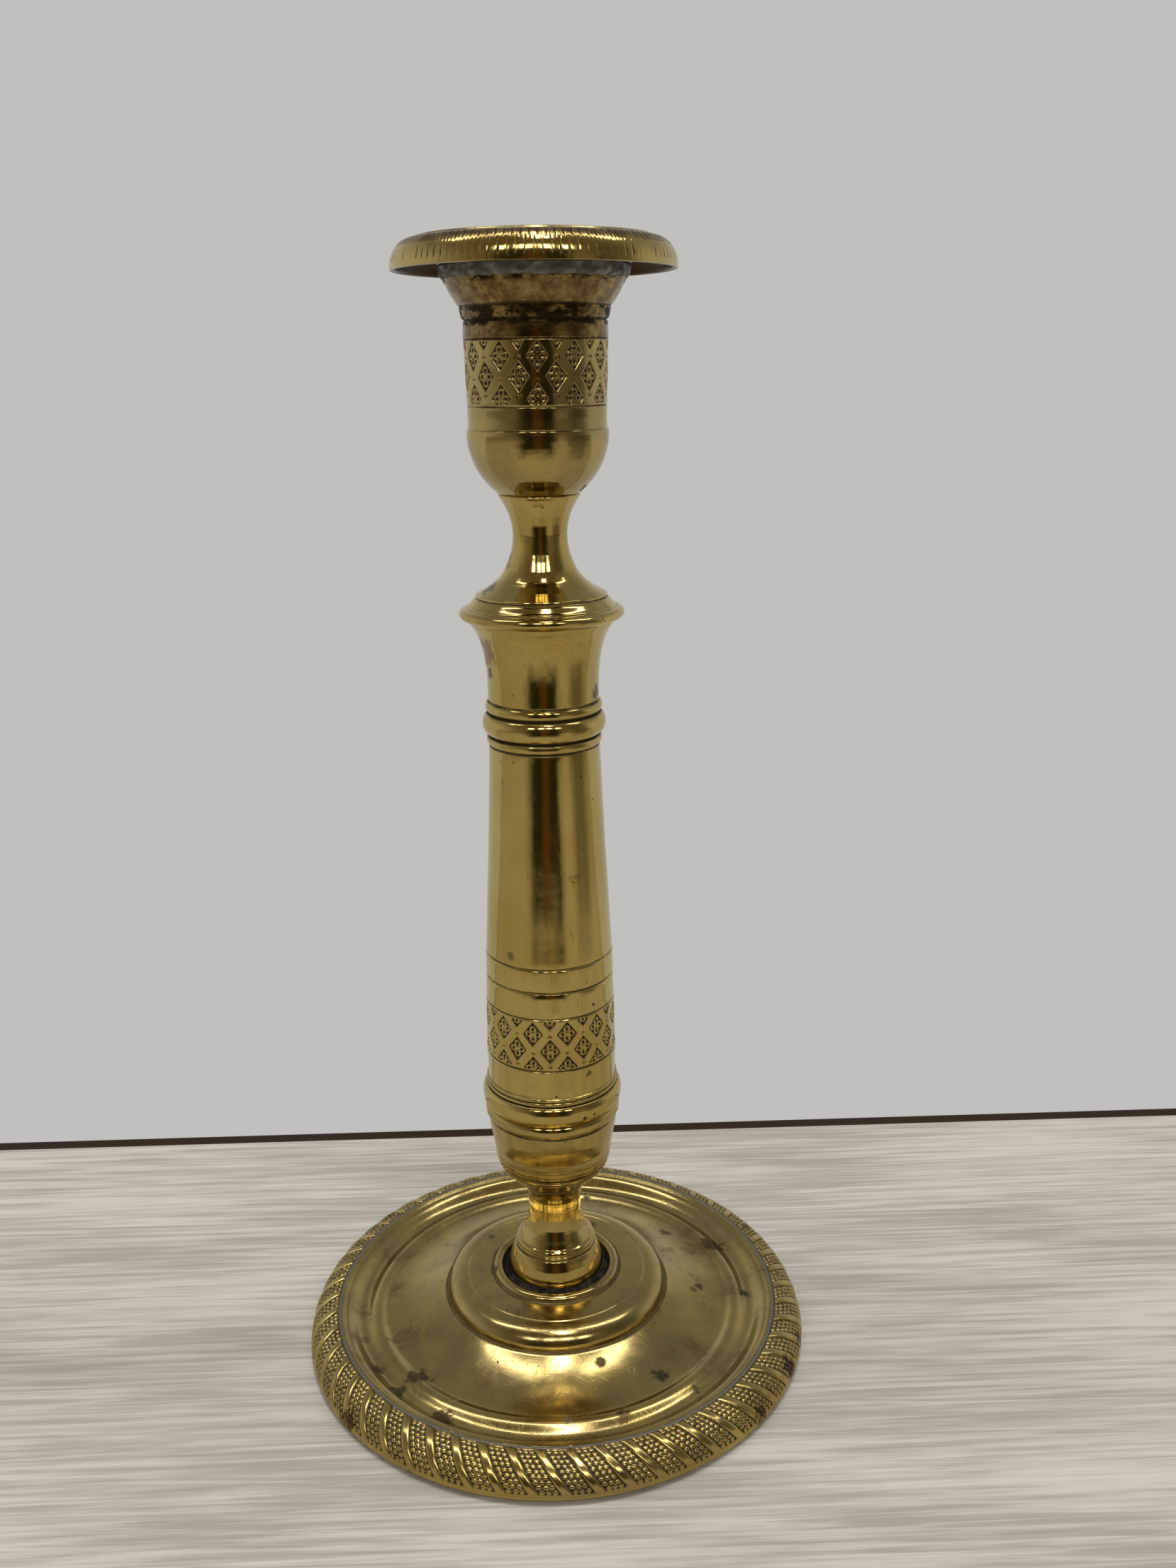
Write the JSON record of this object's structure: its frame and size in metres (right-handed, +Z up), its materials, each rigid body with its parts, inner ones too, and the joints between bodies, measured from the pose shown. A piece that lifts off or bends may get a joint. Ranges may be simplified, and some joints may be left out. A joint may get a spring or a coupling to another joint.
{
  "type": "candlestick",
  "caption": "Turned brass table candlestick with a round dished foot, knopped and tapered stem, banded candle cup and a wide drip pan.",
  "frame": {"origin": "middle of the foot, on the table", "axes": "+Z up along the stem"},
  "size_m": [0.13, 0.13, 0.2714],
  "materials": {
    "brass": "old polished brass with dark tarnish in the hollows",
    "cup_brass": "old brass with brown tarnish under the lip",
    "pan_brass": "old brass, milled edge, dark brown underside",
    "tube_brass": "dull brown brass",
    "solder": "dull grey soft solder",
    "iron": "dark forged iron"
  },
  "bodies": {
    "root": {"rim_band": "brass", "rim_solder": "solder", "base_dish": "brass", "foot_solder": "solder", "foot_knop": "brass", "shaft": "brass", "neck": "brass", "candle_cup": "cup_brass", "lip_solder": "solder", "drip_pan": "pan_brass", "candle_tube": "tube_brass", "tie_rod": "iron", "top_nut": "iron", "base_washer": "iron", "base_nut": "iron"}
  },
  "joints": []
}
